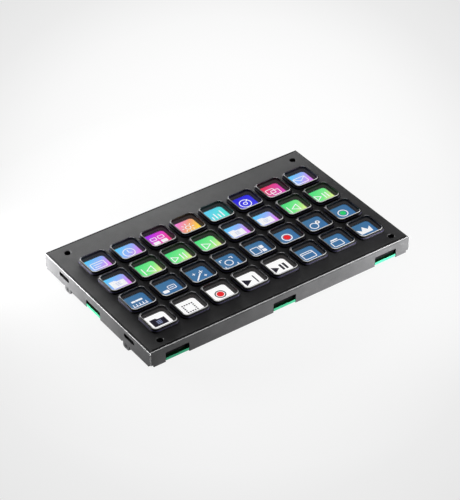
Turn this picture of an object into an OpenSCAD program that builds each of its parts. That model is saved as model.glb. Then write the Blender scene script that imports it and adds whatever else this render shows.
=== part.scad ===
// Keypad module of display keys: a folded metal housing carries spring-backed keys with
// clear lenses over one flat display, and a circuit board closes it from below.
// X runs left to right, Y front to back, Z up. Z = 0 is the plane it rests on.

/* [Keys] */
// Distance from one key to the next
key_pitch = 19.28; // [18.4:0.02:20.4]
// Space between two keys where they pass through the plate
key_spacing = 2.48; // [2.2:0.02:3.2]
// Radius of a key's corners there
key_r = 3.4; // [2.8:0.1:4]
// How much narrower each side of a key is at its rim
key_draft = 0.25; // [0.1:0.05:0.4]
// Height of a key's rim above the plate
key_rise = 2.5; // [1.6:0.1:3.5]
// Radius of the rim
rim_r = 0.35; // [0.2:0.05:0.5]
// Depth of the slope inside the rim
dish_depth = 0.45; // [0.2:0.05:0.6]
// Width of the rim, from its outer side to the well in the key
rim_w = 1; // [0.9:0.05:1.4]
// Height of the lens at the well's floor above the key's foot
lens_rise = 0.1; // [0.05:0.05:0.4]
// Space between a pressed key's lens and the display's frame
lens_gap = 0.1; // [0.05:0.05:0.2]
// Space between a key's lens and the windows that it goes down into
lens_side_gap = 0.35; // [0.2:0.05:0.5]
// How far a key travels when it is pressed
key_travel = 1; // [0.6:0.1:1.4]
// Space between a key and its opening
key_gap = 0.15; // [0.1:0.01:0.2]
// How far a key's foot reaches out under the plate
foot_lip = 0.8; // [0.5:0.05:1]
// Thickness of a key's foot
foot_t = 0.5; // [0.4:0.05:0.8]
// Space between a key's foot and the plate
foot_gap = 0.1; // [0.05:0.05:0.2]

/* [Display] */
// How far the display's picture area reaches past the keys' pitches, left and right
view_side = 0.08; // [0.02:0.02:0.6]
// How far the picture area reaches past the keys' pitches in front
view_front = 0.64; // [0.1:0.02:1]
// How far the picture area reaches past the keys' pitches behind
view_back = 8.24; // [4:0.02:10]
// Width of the display's border, left
border_left = 6.4; // [6:0.1:9]
// Width of the display's border, right
border_right = 4; // [3.6:0.1:7]
// Width of the display's border, front
border_front = 7.7; // [7.4:0.1:10]
// Width of the display's border, back
border_back = 6.1; // [5.6:0.1:9]
// Thickness of the display's metal frame and tray
lcd_metal_t = 0.3; // [0.2:0.05:0.5]
// Thickness of one of the display's two glass plates
glass_t = 0.5; // [0.3:0.05:0.7]
// Width of the lower glass plate that stands free behind the upper one
glass_ledge = 4.4; // [3.6:0.1:5]
// Thickness of the diffusing and brightening films
films_t = 0.3; // [0.1:0.05:0.5]
// Thickness of the light guide
guide_t = 1.4; // [1:0.1:2]
// Thickness of the reflector under the light guide
reflector_t = 0.2; // [0.1:0.05:0.4]
// Width of the backlight's lamp strip
led_strip_w = 1.6; // [1:0.1:2.4]
// Space between display and housing, left and right
lcd_gap_x = 0.9; // [0.6:0.1:2]
// Space between display and housing, front and back
lcd_gap_y = 0.4; // [0.4:0.1:2]

/* [Housing] */
// Thickness of the sheet that the housing is folded from
sheet_t = 1; // [0.8:0.1:1.4]
// Inside radius of the folds
fold_r = 0.2; // [0.1:0.1:1]
// Height of the walls, from the plate's face to their lower edge
wall_h = 10; // [9.4:0.1:11]
// Width of the open seam where two walls meet
seam_w = 0.3; // [0.2:0.05:0.6]
// Distance from the folds down to the seams' upper ends
seam_drop = 0.3; // [0.2:0.1:2]
// Size of the bevel on the walls' lower corners
wall_bevel = 1.4; // [0.5:0.1:2.5]
// Width of the notches in the front and back walls
notch_w = 14.6; // [11:0.1:18]
// Distance from a wall's end to its first notch, front and back
notch_end = 9.2; // [6:0.1:20]
// Distance from the plate's face down to the top of a front or back notch
notch_drop = 4; // [3:0.1:5]
// Radius of the notches' upper corners
notch_r = 0.8; // [0.4:0.1:2]
// Width of the notch in each side wall
side_notch_w = 13.6; // [10:0.1:18]
// Distance from the plate's face down to the top of a side notch
side_notch_drop = 5.1; // [4:0.1:6]
// Distance from a side wall's back end to its notch
side_notch_end = 41.5; // [36:0.1:48]
// Length of the snap slots in the side walls
slot_l = 9.7; // [7:0.1:12]
// Height of the snap slots
slot_h = 2.6; // [1.6:0.1:3]
// Distance from the plate's face down to the middle of a snap slot
slot_drop = 4.3; // [3.6:0.1:5]
// Distance from a side wall's end to the middle of a snap slot
slot_end = 19.8; // [14:0.1:26]

/* [Lugs] */
// Width of the lugs that hang from the side walls
lug_w = 5.6; // [5:0.1:8]
// Distance from a side wall's end to the middle of a lug
lug_end = 22.9; // [14:0.1:28]
// Radius of the lugs' lower corners
lug_r = 1.4; // [0.5:0.1:2]
// Width of the relief cut beside each lug
relief_w = 1; // [0.5:0.1:1.6]
// Height of the relief cut beside each lug
relief_h = 0.7; // [0.4:0.1:1]
// Radius of the lug screws
screw_r = 0.75; // [0.6:0.05:0.9]
// Radius of the lug screws' heads
screw_head_r = 1.4; // [1.2:0.05:1.5]
// Length of the lug screws, head and all
screw_l = 4; // [3:0.1:5]
// Size of the threaded blocks, across the walls
block_w = 4.4; // [3.6:0.1:6]
// Size of the threaded blocks, along the walls
block_l = 5.6; // [4.4:0.1:7]
// Height of the threaded blocks
block_h = 2.8; // [2.4:0.1:3.1]

/* [Panel screws] */
// Distance from the left wall's face to the screws along it
panel_left = 9.9; // [5:0.1:12]
// Distance from the right wall's face to the screws along it
panel_right = 7.9; // [5:0.1:12]
// Distance from the front wall's face to the screws along it
panel_front = 6.2; // [4.6:0.1:6.4]
// Distance from the back wall's face to the screws along it
panel_back = 7.6; // [4.6:0.1:8.6]
// Radius of the holes in the plate
panel_hole_r = 1.75; // [1.6:0.05:2]
// Bevel at the mouth of the holes in the plate
panel_hole_bevel = 0.3; // [0.1:0.05:0.5]
// Radius of the nuts' thread
nut_bore_r = 1.5; // [1.2:0.05:1.55]
// Outside radius of the nuts
nut_r = 2.75; // [2.3:0.05:2.9]
// Height of the nuts under the plate
nut_h = 1.5; // [1:0.1:1.9]

/* [Membrane and switches] */
// Thickness of the membrane's sheet
membrane_t = 0.3; // [0.2:0.05:0.5]
// Thickness of the membrane's springing walls
dome_t = 0.6; // [0.4:0.05:0.7]
// How far the window under a key stays inside the key's outline
window_edge = 0.8; // [0.6:0.05:1.4]
// Radius of the windows' corners
window_r = 2.4; // [1.5:0.1:3]
// How far the membrane and the switch board reach past the outer keys
membrane_lip = 0.45; // [0.2:0.05:0.6]
// Thickness of the switch board
switch_board_t = 0.4; // [0.3:0.05:0.6]
// How much further the switch board reaches at the back
switch_board_tail = 3.8; // [2:0.1:4.4]

/* [Main board] */
// Thickness of the main board
board_t = 1.6; // [1:0.1:2]
// Space between the main board and the walls
board_gap = 0.4; // [0.2:0.05:0.8]
// Space between the main board's tabs and the notches that they enter
tab_gap = 0.3; // [0.15:0.05:0.6]
// How far the tabs stay behind the walls' outer face
tab_inset = 0.05; // [0.05:0.05:0.5]
// Thickness of the insulating film on the main board
film_t = 0.15; // [0.1:0.05:0.3]
// Thickness of the foam between main board and display
foam_t = 0.65; // [0.4:0.05:1]
// Width of the foam strips
foam_w = 8; // [5:0.5:14]
// Width of the display's ribbon
lcd_flex_w = 32; // [24:0.5:40]
// Width of the switch board's ribbon
switch_flex_w = 12; // [8:0.5:18]
// Thickness of the ribbons
flex_t = 0.1; // [0.08:0.01:0.14]
// Distance that the ribbons' connectors stand in from the board's back edge
zif_inset = 7; // [5:0.1:12]
// Depth of the ribbons' connectors
zif_d = 4.6; // [4:0.1:6]
// Height of the ribbons' connectors
zif_h = 1.2; // [0.9:0.1:2]
// Width of the USB socket
usb_w = 8.94; // [8.6:0.02:9.4]
// Height of the USB socket
usb_h = 3.2; // [3:0.02:3.4]
// Depth of the USB socket
usb_l = 7.35; // [6.5:0.05:9]
// Thickness of the USB socket's shell
usb_shell_t = 0.3; // [0.2:0.05:0.4]
// Space between the lowest part on the board and the resting plane
floor_gap = 0.2; // [0.1:0.05:1]
// Side of the square controller chip
controller_w = 14; // [10:0.5:18]
// Side of the square inductors
inductor_w = 5; // [4:0.1:6]
// Height of the inductors
inductor_h = 2.4; // [1.6:0.1:3]

/* [Hidden] */
$fn = 48;

key_rows = 4;
key_cols = 8;
cut = 1; // how far a cutting shape runs past what it cuts

// Keys and the picture behind them, from which the display and the housing get their size
key_w = key_pitch - key_spacing;
key_corner = key_w / 2 - key_r; // a corner's centre, from the key's middle
foot_r = key_r + foot_lip;
foot_w = key_w + 2 * foot_lip;
window_w = key_w - 2 * window_edge;
lens_r = window_w / 2 - lens_side_gap - key_corner;
view_w = key_cols * key_pitch + 2 * view_side;
view_d = key_rows * key_pitch + view_front + view_back;
lcd_w = view_w + border_left + border_right;
lcd_d = view_d + border_front + border_back;
view_x = (border_left - border_right) / 2;
view_y = (border_front - border_back) / 2;
grid_x = view_x;
grid_y = view_y + (view_front - view_back) / 2;

// Housing, around the display
cavity_w = lcd_w + 2 * lcd_gap_x;
cavity_d = lcd_d + 2 * lcd_gap_y;
body_w = cavity_w + 2 * sheet_t;
body_d = cavity_d + 2 * sheet_t;
notch_x = body_w / 2 - notch_end - notch_w / 2;
side_notch_y = body_d / 2 - side_notch_end - side_notch_w / 2;
slot_y = body_d / 2 - slot_end;
lug_y = body_d / 2 - lug_end;

// Heights, from the resting plane up through the stack to the plate's face
board_bottom = floor_gap + usb_h;
board_top = board_bottom + board_t;
film_top = board_top + film_t;
tray_bottom = film_top + foam_t;
reflector_bottom = tray_bottom + lcd_metal_t;
guide_bottom = reflector_bottom + reflector_t;
films_bottom = guide_bottom + guide_t;
glass_bottom = films_bottom + films_t;
glass_top = glass_bottom + 2 * glass_t;
lcd_top = glass_top + lcd_metal_t;
switch_board_top = lcd_top + switch_board_t;
membrane_top = switch_board_top + membrane_t;
foot_bottom = membrane_top + key_travel;
lens_bottom = lcd_top + key_travel + lens_gap;
lens_top = foot_bottom + lens_rise;
plate_bottom = foot_bottom + foot_t + foot_gap;
plate_top = plate_bottom + sheet_t;
wall_bottom = plate_top - wall_h;

// Membrane and switch board
array_w = (key_cols - 1) * key_pitch + foot_w + 2 * membrane_lip;
array_d = (key_rows - 1) * key_pitch + foot_w + 2 * membrane_lip;
array_r = foot_r + membrane_lip;

// Display, from the outside in
lcd_slack = 0.2; // between the display's frame and what it encloses
glass_w = lcd_w - 2 * (lcd_metal_t + lcd_slack);
glass_d = lcd_d - 2 * (lcd_metal_t + lcd_slack);
guide_w = glass_w - 2 * (lcd_metal_t + lcd_slack);
guide_d = glass_d - 2 * (lcd_metal_t + lcd_slack) - led_strip_w;
guide_y = -led_strip_w / 2;
led_count = 24;
led_board_t = 0.4;
led_l = 3.2;
led_end = 1.4; // from the light guide's end to the lamp strip's
led_pitch = (guide_w - 2 * led_end) / (led_count + 1);
driver_l = 18;
driver_w = 1.6;
driver_spacing = 56;
bond_w = 1.2; // strip of the ledge that the ribbon is bonded to

// Main board and what it carries
board_w = cavity_w - 2 * board_gap;
board_d = cavity_d - 2 * board_gap;
tab_w = notch_w - 2 * tab_gap;
side_tab_w = side_notch_w - 2 * tab_gap;
film_inset = 1.5;
foam_inset = 6;
foam_places = [for (s = [-1, 1]) for (x = [24, lcd_w / 2 - 12.4]) s * x];
screw_gap = 0.05; // round the lug screws, in lug and block
screw_z = board_bottom - block_h / 2;
screw_head_h = screw_head_r - screw_r;
screw_drive_r = 0.5;
block_gap = 0.1;
lcd_flex_x = -34;
switch_flex_x = 36;
zif_y = board_d / 2 - zif_inset - zif_d / 2;
zif_z = board_bottom - zif_h / 2;
zif_side_w = 1.6; // how much wider than its ribbon a connector is, each side
zif_mouth_gap = 0.05;
zif_mouth_d = 2.2;
usb_corner_r = 1.4;
usb_back_t = 0.8;
usb_tongue = [6.7, 5.2, 0.7];
controller_at = [-18, 4];
controller_h = 1.4;
memory_places = [[6, 12], [6, -4]];
memory_size = [11, 8, 1];
inductor_places = [[34, 18], [34, 8], [-52, -20]];
crystal_at = [-34, 14];
crystal_size = [3.2, 2.5, 0.8];
regulator_places = [[42, 18], [42, 8], [-60, -20], [10, 32], [-60, 22]];
regulator_size = [4, 4, 0.9];
capacitor_size = [2, 1.25, 0.9];
capacitor_pitch = 3.6;
capacitor_rows = [[-30, -14, 8], [24, 26, 5], [-66, -28, 5], [48, -10, 4], [-10, 28, 4]];

// Middle of a key; row 1 is at the back and column 1 at the left
function key_at(row, col) = [
    grid_x + (col - (key_cols + 1) / 2) * key_pitch,
    grid_y - (row - (key_rows + 1) / 2) * key_pitch
];

// Outline of a rectangle with true round corners
module rounded(w, d, r) {
    square([w - 2 * r, d], center = true);
    square([w, d - 2 * r], center = true);
    for (x = [-1, 1]) for (y = [-1, 1])
        translate([x * (w / 2 - r), y * (d / 2 - r)]) circle(r = r);
}

// Outline of a wall or notch seen end on, with its two upper corners round
module arch(w, h, r) {
    translate([-w / 2, 0]) square([w, h - r]);
    translate([-w / 2 + r, 0]) square([w - 2 * r, h]);
    for (s = [-1, 1]) translate([s * (w / 2 - r), h - r]) circle(r = r);
}

// A block between two heights, centred on a point
module slab(w, d, z0, z1, at = [0, 0]) {
    translate([at[0] - w / 2, at[1] - d / 2, z0]) cube([w, d, z1 - z0]);
}

// Stands an outline up in the YZ plane and thickens it towards +X
module along_x(length) {
    rotate([90, 0, 90]) linear_extrude(height = length) children();
}

// Stands an outline up in the XZ plane and thickens it towards -Y
module along_y(length) {
    rotate([90, 0, 0]) linear_extrude(height = length) children();
}

// Repeats a 2D shape at every key
module at_keys() {
    for (row = [1:key_rows]) for (col = [1:key_cols])
        translate(key_at(row, col)) children();
}

// Repeats a shape at the four panel screws
module at_panel_screws() {
    for (x = [panel_left - body_w / 2, body_w / 2 - panel_right])
        for (y = [panel_front - body_d / 2, body_d / 2 - panel_back])
            translate([x, y, 0]) children();
}

// Repeats a shape at the four lugs; its origin is on the wall's outer face, with +X outwards
module at_lugs() {
    for (side = [0, 1]) for (y = [-1, 1])
        mirror([side, 0, 0])
            translate([body_w / 2, y * lug_y, 0]) children();
}

// Sweeps an outline, drawn from a corner's centre outwards, round a square
module round_square(corner) {
    for (q = [0:3]) rotate([0, 0, 90 * q]) translate([corner, corner, 0]) {
        rotate_extrude(angle = 90) children();
        along_y(2 * corner) children();
    }
}

// Block whose four upper edges are folds
module folded_block(w, d, z0, z1, r) {
    intersection() {
        translate([0, d / 2, z0]) along_y(d) arch(w, z1 - z0, r);
        translate([-w / 2, 0, z0]) along_x(w) arch(d, z1 - z0, r);
    }
}

// Cuts a notch in a wall that faces +X, from its lower edge up
module wall_notch(w, top) {
    h = top - wall_bottom + cut;
    translate([-sheet_t - cut, 0, top - h]) along_x(sheet_t + 2 * cut) arch(w, h, notch_r);
}

module plate_openings() {
    translate([0, 0, plate_bottom - cut]) linear_extrude(height = sheet_t + 2 * cut)
        at_keys() rounded(key_w + 2 * key_gap, key_w + 2 * key_gap, key_r + key_gap);
    at_panel_screws() {
        translate([0, 0, plate_bottom - cut])
            cylinder(r = panel_hole_r, h = sheet_t + 2 * cut);
        translate([0, 0, plate_top - panel_hole_bevel])
            cylinder(
                r1 = panel_hole_r, r2 = panel_hole_r + panel_hole_bevel + cut,
                h = panel_hole_bevel + cut
            );
    }
}

module wall_openings() {
    for (side = [-1, 1]) for (i = [-1:1])
        translate([i * notch_x, 0, 0]) rotate([0, 0, side * 90])
            translate([body_d / 2, 0, 0]) wall_notch(notch_w, plate_top - notch_drop);
    for (side = [0, 1]) mirror([side, 0, 0]) translate([body_w / 2, 0, 0]) {
        translate([0, side_notch_y, 0])
            wall_notch(side_notch_w, plate_top - side_notch_drop);
        for (y = [-1, 1])
            translate([-sheet_t - cut, y * slot_y, plate_top - slot_drop])
                along_x(sheet_t + 2 * cut) snap_slot();
    }
}

// Outline of a snap slot, with full round ends
module snap_slot() {
    square([slot_l - slot_h, slot_h], center = true);
    for (s = [-1, 1]) translate([s * (slot_l - slot_h) / 2, 0]) circle(r = slot_h / 2);
}

// Outline that bevels a wall's lower corner at a distance from the middle
module wall_bevel_cut(reach) {
    polygon([
        [reach - wall_bevel - cut, wall_bottom - cut],
        [reach + cut, wall_bottom - cut],
        [reach + cut, wall_bottom + wall_bevel + cut]
    ]);
}

// What is cut away where two walls meet: the open seam and the bevelled lower corners
module wall_ends() {
    for (x = [0, 1]) for (y = [0, 1]) mirror([x, 0, 0]) mirror([0, y, 0]) {
        translate([body_w / 2, body_d / 2, wall_bottom - cut]) rotate([0, 0, 45])
            translate([-3 * sheet_t, -seam_w / 2, 0])
                cube([4 * sheet_t, seam_w, plate_bottom - fold_r - seam_drop - wall_bottom + cut]);
        translate([body_w / 2 - sheet_t - cut, 0, 0])
            along_x(sheet_t + 2 * cut) wall_bevel_cut(body_d / 2);
        translate([0, body_d / 2 + cut, 0])
            along_y(sheet_t + 2 * cut) wall_bevel_cut(body_w / 2);
    }
}

// A lug hangs from a side wall's lower edge, between two relief cuts
module lug() {
    h = wall_bottom + relief_h;
    translate([-sheet_t, 0, h]) mirror([0, 0, 1]) along_x(sheet_t) arch(lug_w, h, lug_r);
}

module lug_reliefs() {
    for (s = [-1, 1])
        translate([-sheet_t - cut, s * (lug_w + relief_w) / 2 - relief_w / 2, wall_bottom - cut])
            cube([sheet_t + 2 * cut, relief_w, relief_h + cut]);
}

// Countersunk hole for a lug screw
module lug_hole() {
    translate([0, 0, screw_z]) rotate([0, -90, 0]) {
        cylinder(r = screw_r + screw_gap, h = sheet_t + cut);
        translate([0, 0, -cut])
            cylinder(
                r1 = screw_head_r + screw_gap + cut, r2 = screw_r + screw_gap,
                h = screw_head_h + cut
            );
    }
}

module housing() {
    color([0.2, 0.2, 0.21]) difference() {
        union() {
            difference() {
                folded_block(body_w, body_d, wall_bottom, plate_top, fold_r + sheet_t);
                folded_block(cavity_w, cavity_d, wall_bottom - cut, plate_bottom, fold_r);
            }
            at_lugs() lug();
        }
        plate_openings();
        wall_openings();
        wall_ends();
        at_lugs() lug_reliefs();
        at_lugs() lug_hole();
    }
}

module corner_nuts() {
    color("silver") at_panel_screws() difference() {
        translate([0, 0, plate_bottom - nut_h]) cylinder(r = nut_r, h = nut_h);
        translate([0, 0, plate_bottom - nut_h - cut]) cylinder(r = nut_bore_r, h = nut_h + 2 * cut);
    }
}

// Section of a key, from a corner's centre outwards: lens, foot, wall, rim and well
module key_section() {
    foot_z = foot_bottom - lens_bottom;
    rim_top = plate_top + key_rise - lens_bottom;
    rim_out = key_r - key_draft;
    well_r = rim_out - rim_w;
    polygon([
        [0, 0],
        [lens_r, 0],
        [lens_r, foot_z],
        [foot_r, foot_z],
        [foot_r, foot_z + foot_t],
        [key_r, foot_z + foot_t],
        [key_r, plate_top - lens_bottom],
        [rim_out, rim_top - rim_r],
        [rim_out - rim_r, rim_top],
        [well_r + dish_depth, rim_top],
        [well_r, rim_top - dish_depth],
        [well_r, lens_top - lens_bottom],
        [0, lens_top - lens_bottom]
    ]);
    translate([rim_out - rim_r, rim_top - rim_r]) circle(r = rim_r);
}

// A key is a frame round a deep well; the lens at its floor lets the picture through
module key_cap(row, col) {
    color([0.08, 0.08, 0.09]) translate([key_at(row, col)[0], key_at(row, col)[1], lens_bottom]) {
        round_square(key_corner) key_section();
        slab(2 * key_corner, 2 * key_corner, 0, lens_top - lens_bottom);
    }
}

// One silicone sheet whose low walls under the keys' feet push them up
module key_membrane() {
    color([0.75, 0.76, 0.78, 0.6]) {
        translate([0, 0, switch_board_top]) linear_extrude(height = membrane_t) difference() {
            translate([grid_x, grid_y]) rounded(array_w, array_d, array_r);
            at_keys() rounded(window_w, window_w, window_r);
        }
        translate([0, 0, membrane_top]) linear_extrude(height = key_travel)
            at_keys() difference() {
                rounded(key_w + dome_t, key_w + dome_t, key_r + dome_t / 2);
                rounded(key_w - dome_t, key_w - dome_t, key_r - dome_t / 2);
            }
    }
}

module switch_board() {
    color([0.1, 0.35, 0.25]) translate([0, 0, lcd_top])
        linear_extrude(height = switch_board_t) difference() {
            translate([grid_x - array_w / 2, grid_y - array_d / 2])
                square([array_w, array_d + switch_board_tail]);
            at_keys() rounded(window_w, window_w, window_r);
        }
}

// A ribbon runs back over the display's edge, down inside the back wall and forward
// under the main board into its connector
module ribbon(w, x, start_y, start_z) {
    drop_y = lcd_d / 2 + lcd_gap_y / 2;
    back_y = drop_y + flex_t / 2;
    mouth_y = zif_y + zif_d / 2 - zif_mouth_d;
    slab(w, back_y - start_y, start_z, start_z + flex_t, [x, (start_y + back_y) / 2]);
    slab(w, flex_t, zif_z - flex_t / 2, start_z + flex_t, [x, drop_y]);
    slab(w, back_y - mouth_y, zif_z - flex_t / 2, zif_z + flex_t / 2, [x, (mouth_y + back_y) / 2]);
}

// A ribbon's connector, soldered under the main board with its mouth to the back
module ribbon_connector(w, x) {
    difference() {
        slab(w + 2 * zif_side_w, zif_d, board_bottom - zif_h, board_bottom, [x, zif_y]);
        slab(
            w + 2 * zif_mouth_gap, 2 * zif_mouth_d + 2 * zif_mouth_gap,
            zif_z - flex_t / 2 - zif_mouth_gap, zif_z + flex_t / 2 + zif_mouth_gap,
            [x, zif_y + zif_d / 2]
        );
    }
}

module switch_flex() {
    color("orange")
        ribbon(switch_flex_w, switch_flex_x, grid_y + array_d / 2 + switch_board_tail,
            lcd_top + (switch_board_t - flex_t) / 2);
}

module switch_connector() {
    color("ivory") ribbon_connector(switch_flex_w, switch_flex_x);
}

module lcd_frame() {
    color("silver") difference() {
        slab(lcd_w, lcd_d, tray_bottom, lcd_top);
        slab(lcd_w - 2 * lcd_metal_t, lcd_d - 2 * lcd_metal_t, tray_bottom - cut, glass_top);
        slab(view_w, view_d, glass_top - cut, lcd_top + cut, [view_x, view_y]);
        // Way out for the ribbon
        slab(lcd_flex_w + 2 * lcd_slack, 4 * lcd_metal_t, tray_bottom - cut, glass_top,
            [lcd_flex_x, lcd_d / 2]);
    }
}

module lcd_glass() {
    color([0.05, 0.06, 0.08]) {
        slab(glass_w, glass_d, glass_bottom, glass_bottom + glass_t);
        slab(glass_w, glass_d - glass_ledge, glass_bottom + glass_t, glass_top, [0, -glass_ledge / 2]);
    }
}

module lcd_drivers() {
    color([0.15, 0.15, 0.17]) for (s = [-1, 1])
        slab(driver_l, driver_w, glass_bottom + glass_t, glass_top - lcd_slack / 2,
            [s * driver_spacing / 2, glass_d / 2 - (glass_ledge + bond_w) / 2]);
}

module lcd_films() {
    color("white") slab(guide_w, guide_d, films_bottom, glass_bottom, [0, guide_y]);
}

module light_guide() {
    color([0.85, 0.93, 0.95]) slab(guide_w, guide_d, guide_bottom, films_bottom, [0, guide_y]);
}

module reflector_sheet() {
    color("white") slab(guide_w, guide_d, reflector_bottom, guide_bottom, [0, guide_y]);
}

// Lamps on a narrow board that stands against the tray's back wall
module led_strip() {
    strip_back = glass_d / 2 - lcd_metal_t;
    color("gold") {
        slab((led_count + 1) * led_pitch, led_board_t, guide_bottom, films_bottom,
            [0, strip_back - led_board_t / 2]);
        for (i = [1:led_count])
            slab(led_l, led_strip_w - led_board_t, guide_bottom, films_bottom,
                [(i - (led_count + 1) / 2) * led_pitch, strip_back - (led_strip_w + led_board_t) / 2]);
    }
}

module lcd_tray() {
    color("gainsboro") difference() {
        slab(glass_w, glass_d, tray_bottom, glass_bottom);
        slab(glass_w - 2 * lcd_metal_t, glass_d - 2 * lcd_metal_t, reflector_bottom, glass_bottom + cut);
    }
}

module lcd_flex() {
    color("orange") ribbon(lcd_flex_w, lcd_flex_x, glass_d / 2 - bond_w, glass_bottom + glass_t);
}

module lcd_connector() {
    color("ivory") ribbon_connector(lcd_flex_w, lcd_flex_x);
}

module foam_strips() {
    color([0.2, 0.2, 0.22]) for (x = foam_places)
        slab(foam_w, lcd_d - 2 * foam_inset, film_top, tray_bottom, [x, 0]);
}

module insulating_film() {
    color([0.9, 0.9, 0.85]) slab(board_w - 2 * film_inset, board_d - 2 * film_inset, board_top, film_top);
}

// Board with tabs that enter the housing's notches; the back's middle notch is for the USB socket
module main_board() {
    color([0.1, 0.55, 0.35]) {
        slab(board_w, board_d, board_bottom, board_top);
        for (i = [-1:1])
            slab(tab_w, body_d / 2 - tab_inset, board_bottom, board_top,
                [i * notch_x, -(body_d / 2 - tab_inset) / 2]);
        for (i = [-1, 1])
            slab(tab_w, body_d / 2 - tab_inset, board_bottom, board_top,
                [i * notch_x, (body_d / 2 - tab_inset) / 2]);
        slab(body_w - 2 * tab_inset, side_tab_w, board_bottom, board_top, [0, side_notch_y]);
    }
}

// Threaded blocks soldered under the board's side edges, one behind each lug
module board_blocks() {
    color("silver") difference() {
        at_lugs() slab(block_w, block_l, board_bottom - block_h, board_bottom,
            [-sheet_t - block_gap - block_w / 2, 0]);
        at_lugs() translate([-sheet_t, 0, screw_z]) rotate([0, -90, 0])
            cylinder(r = screw_r + screw_gap, h = block_w + cut);
    }
}

module lug_screws() {
    color("dimgray") at_lugs() translate([0, 0, screw_z]) rotate([0, -90, 0]) difference() {
        union() {
            cylinder(r1 = screw_head_r, r2 = screw_r, h = screw_head_h);
            cylinder(r = screw_r, h = screw_l);
        }
        translate([0, 0, -cut]) cylinder(r = screw_drive_r, h = screw_head_h / 2 + cut, $fn = 6);
    }
}

module usb_receptacle() {
    mouth_y = body_d / 2 - tab_inset;
    color("silver") translate([0, mouth_y, board_bottom - usb_h / 2]) {
        difference() {
            along_y(usb_l) rounded(usb_w, usb_h, usb_corner_r);
            translate([0, cut, 0]) along_y(usb_l - usb_back_t + cut)
                rounded(usb_w - 2 * usb_shell_t, usb_h - 2 * usb_shell_t, usb_corner_r - usb_shell_t);
        }
        translate([0, -usb_l + usb_back_t + usb_tongue[1] / 2, 0]) cube(usb_tongue, center = true);
    }
}

// A part soldered under the main board
module under_board(at, size) {
    slab(size[0], size[1], board_bottom - size[2], board_bottom, at);
}

module controller_chip() {
    color([0.12, 0.12, 0.13]) under_board(controller_at, [controller_w, controller_w, controller_h]);
}

module memory_chips() {
    color([0.12, 0.12, 0.13]) for (at = memory_places) under_board(at, memory_size);
}

module power_inductors() {
    color([0.3, 0.3, 0.32]) for (at = inductor_places)
        under_board(at, [inductor_w, inductor_w, inductor_h]);
}

module crystal() {
    color("silver") under_board(crystal_at, crystal_size);
}

module chip_capacitors() {
    color("tan") for (line = capacitor_rows) for (i = [0:line[2] - 1])
        under_board([line[0] + i * capacitor_pitch, line[1]], capacitor_size);
}

module regulator_chips() {
    color([0.12, 0.12, 0.13]) for (at = regulator_places) under_board(at, regulator_size);
}

housing();
corner_nuts();
key_membrane();
switch_board();
switch_flex();
switch_connector();
lcd_frame();
lcd_glass();
lcd_drivers();
lcd_films();
light_guide();
reflector_sheet();
led_strip();
lcd_tray();
lcd_flex();
lcd_connector();
foam_strips();
insulating_film();
main_board();
board_blocks();
lug_screws();
usb_receptacle();
controller_chip();
memory_chips();
power_inductors();
crystal();
chip_capacitors();
regulator_chips();
for (row = [1:key_rows]) for (col = [1:key_cols])
    key_cap(row, col);
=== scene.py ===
"""Looks of the display key keypad module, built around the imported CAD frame."""
import math

import bmesh
import bpy
from mathutils import Matrix, Vector


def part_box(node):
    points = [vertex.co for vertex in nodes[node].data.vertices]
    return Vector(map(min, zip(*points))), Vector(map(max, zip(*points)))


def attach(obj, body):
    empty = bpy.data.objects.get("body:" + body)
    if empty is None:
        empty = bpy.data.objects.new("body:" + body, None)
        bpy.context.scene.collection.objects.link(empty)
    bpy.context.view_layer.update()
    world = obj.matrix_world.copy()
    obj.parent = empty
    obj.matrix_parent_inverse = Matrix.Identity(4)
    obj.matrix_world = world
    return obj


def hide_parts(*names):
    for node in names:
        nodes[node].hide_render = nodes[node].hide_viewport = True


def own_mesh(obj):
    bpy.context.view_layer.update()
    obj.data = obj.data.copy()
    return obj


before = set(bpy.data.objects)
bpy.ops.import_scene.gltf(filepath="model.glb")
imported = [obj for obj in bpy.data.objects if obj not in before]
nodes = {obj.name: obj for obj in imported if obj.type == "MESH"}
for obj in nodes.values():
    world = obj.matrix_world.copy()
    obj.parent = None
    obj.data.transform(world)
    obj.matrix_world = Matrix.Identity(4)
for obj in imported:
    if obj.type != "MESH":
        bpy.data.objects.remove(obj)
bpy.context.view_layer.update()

MM = 0.001
ROWS, COLS = 4, 8

# ---------------- key sizes, mm
FOOT_LIP = 0.8        # how far a key's foot reaches out under the plate
CORNER_R = 3.4        # radius of a key's corners at the plate
DRAFT = 0.25          # how much narrower each side is at the rim
RIM_W = 1.0           # rim, from the outer side to the clear face
DISH = 0.45           # clear face below the rim
FOOT_T = 0.5
GLINT_W, GLINT_H = 0.08, 0.28    # steep bevel outside the rim with a painted glowing highlight, which only near sides show
LINE_W = 0.12          # dull painted highlight line along the rim's top
BAND_LOW, BAND_HIGH = 1.0, 1.45  # painted highlight: a purple-grey band round a key's side, above the plate
EASE = 0.06           # small slopes beside the band and the rim
SLOPE_LOW, SLOPE_HIGH, SLOPE_IN = 0.2, 0.05, 0.08  # rim's outer slope, below the bevel
GLINT_INSET = 0.64      # the painted highlight bevel's outer edge, in from the key's side
HAIR = 0.02           # a hair's step, so that two faces don't share a plane
FACE_GRIP = 0.08      # how far the clear face reaches into the frame
DARK_DEPTH = 1.2      # the well's wall is black down to here, and has a faint painted glow below
FLARE_OUT, FLARE_HIGH, FLARE_LOW = 0.45, 0.45, 0.35  # the well widens by this, above the foot
PANE_T = 0.3
LENS_T = 0.7          # lens at the well's floor, with the picture where the eye finds it
LENS_SKIRT = 0.6      # how far the lens reaches below the key's foot
PICTURE_HALF = 7.05
SIGN_SCALE, SIGN_SHIFT = 0.92, 0.75   # each sign stands a little behind its picture's middle
MASK_W = 0.28         # black border round the picture
INK_SUNK, INK_PROUD = 0.03, 0.04      # a sign's ink, below and above its ground
SECOND_LIFT = 0.05    # how far the second ink lies above the first
PITCH = 19.28         # from key to key
MEMBRANE_T = 0.28     # sheet that the springing walls stand on
WINDOW_HALF = 7.6     # openings in that sheet
CORNER_STEPS = 10
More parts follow.
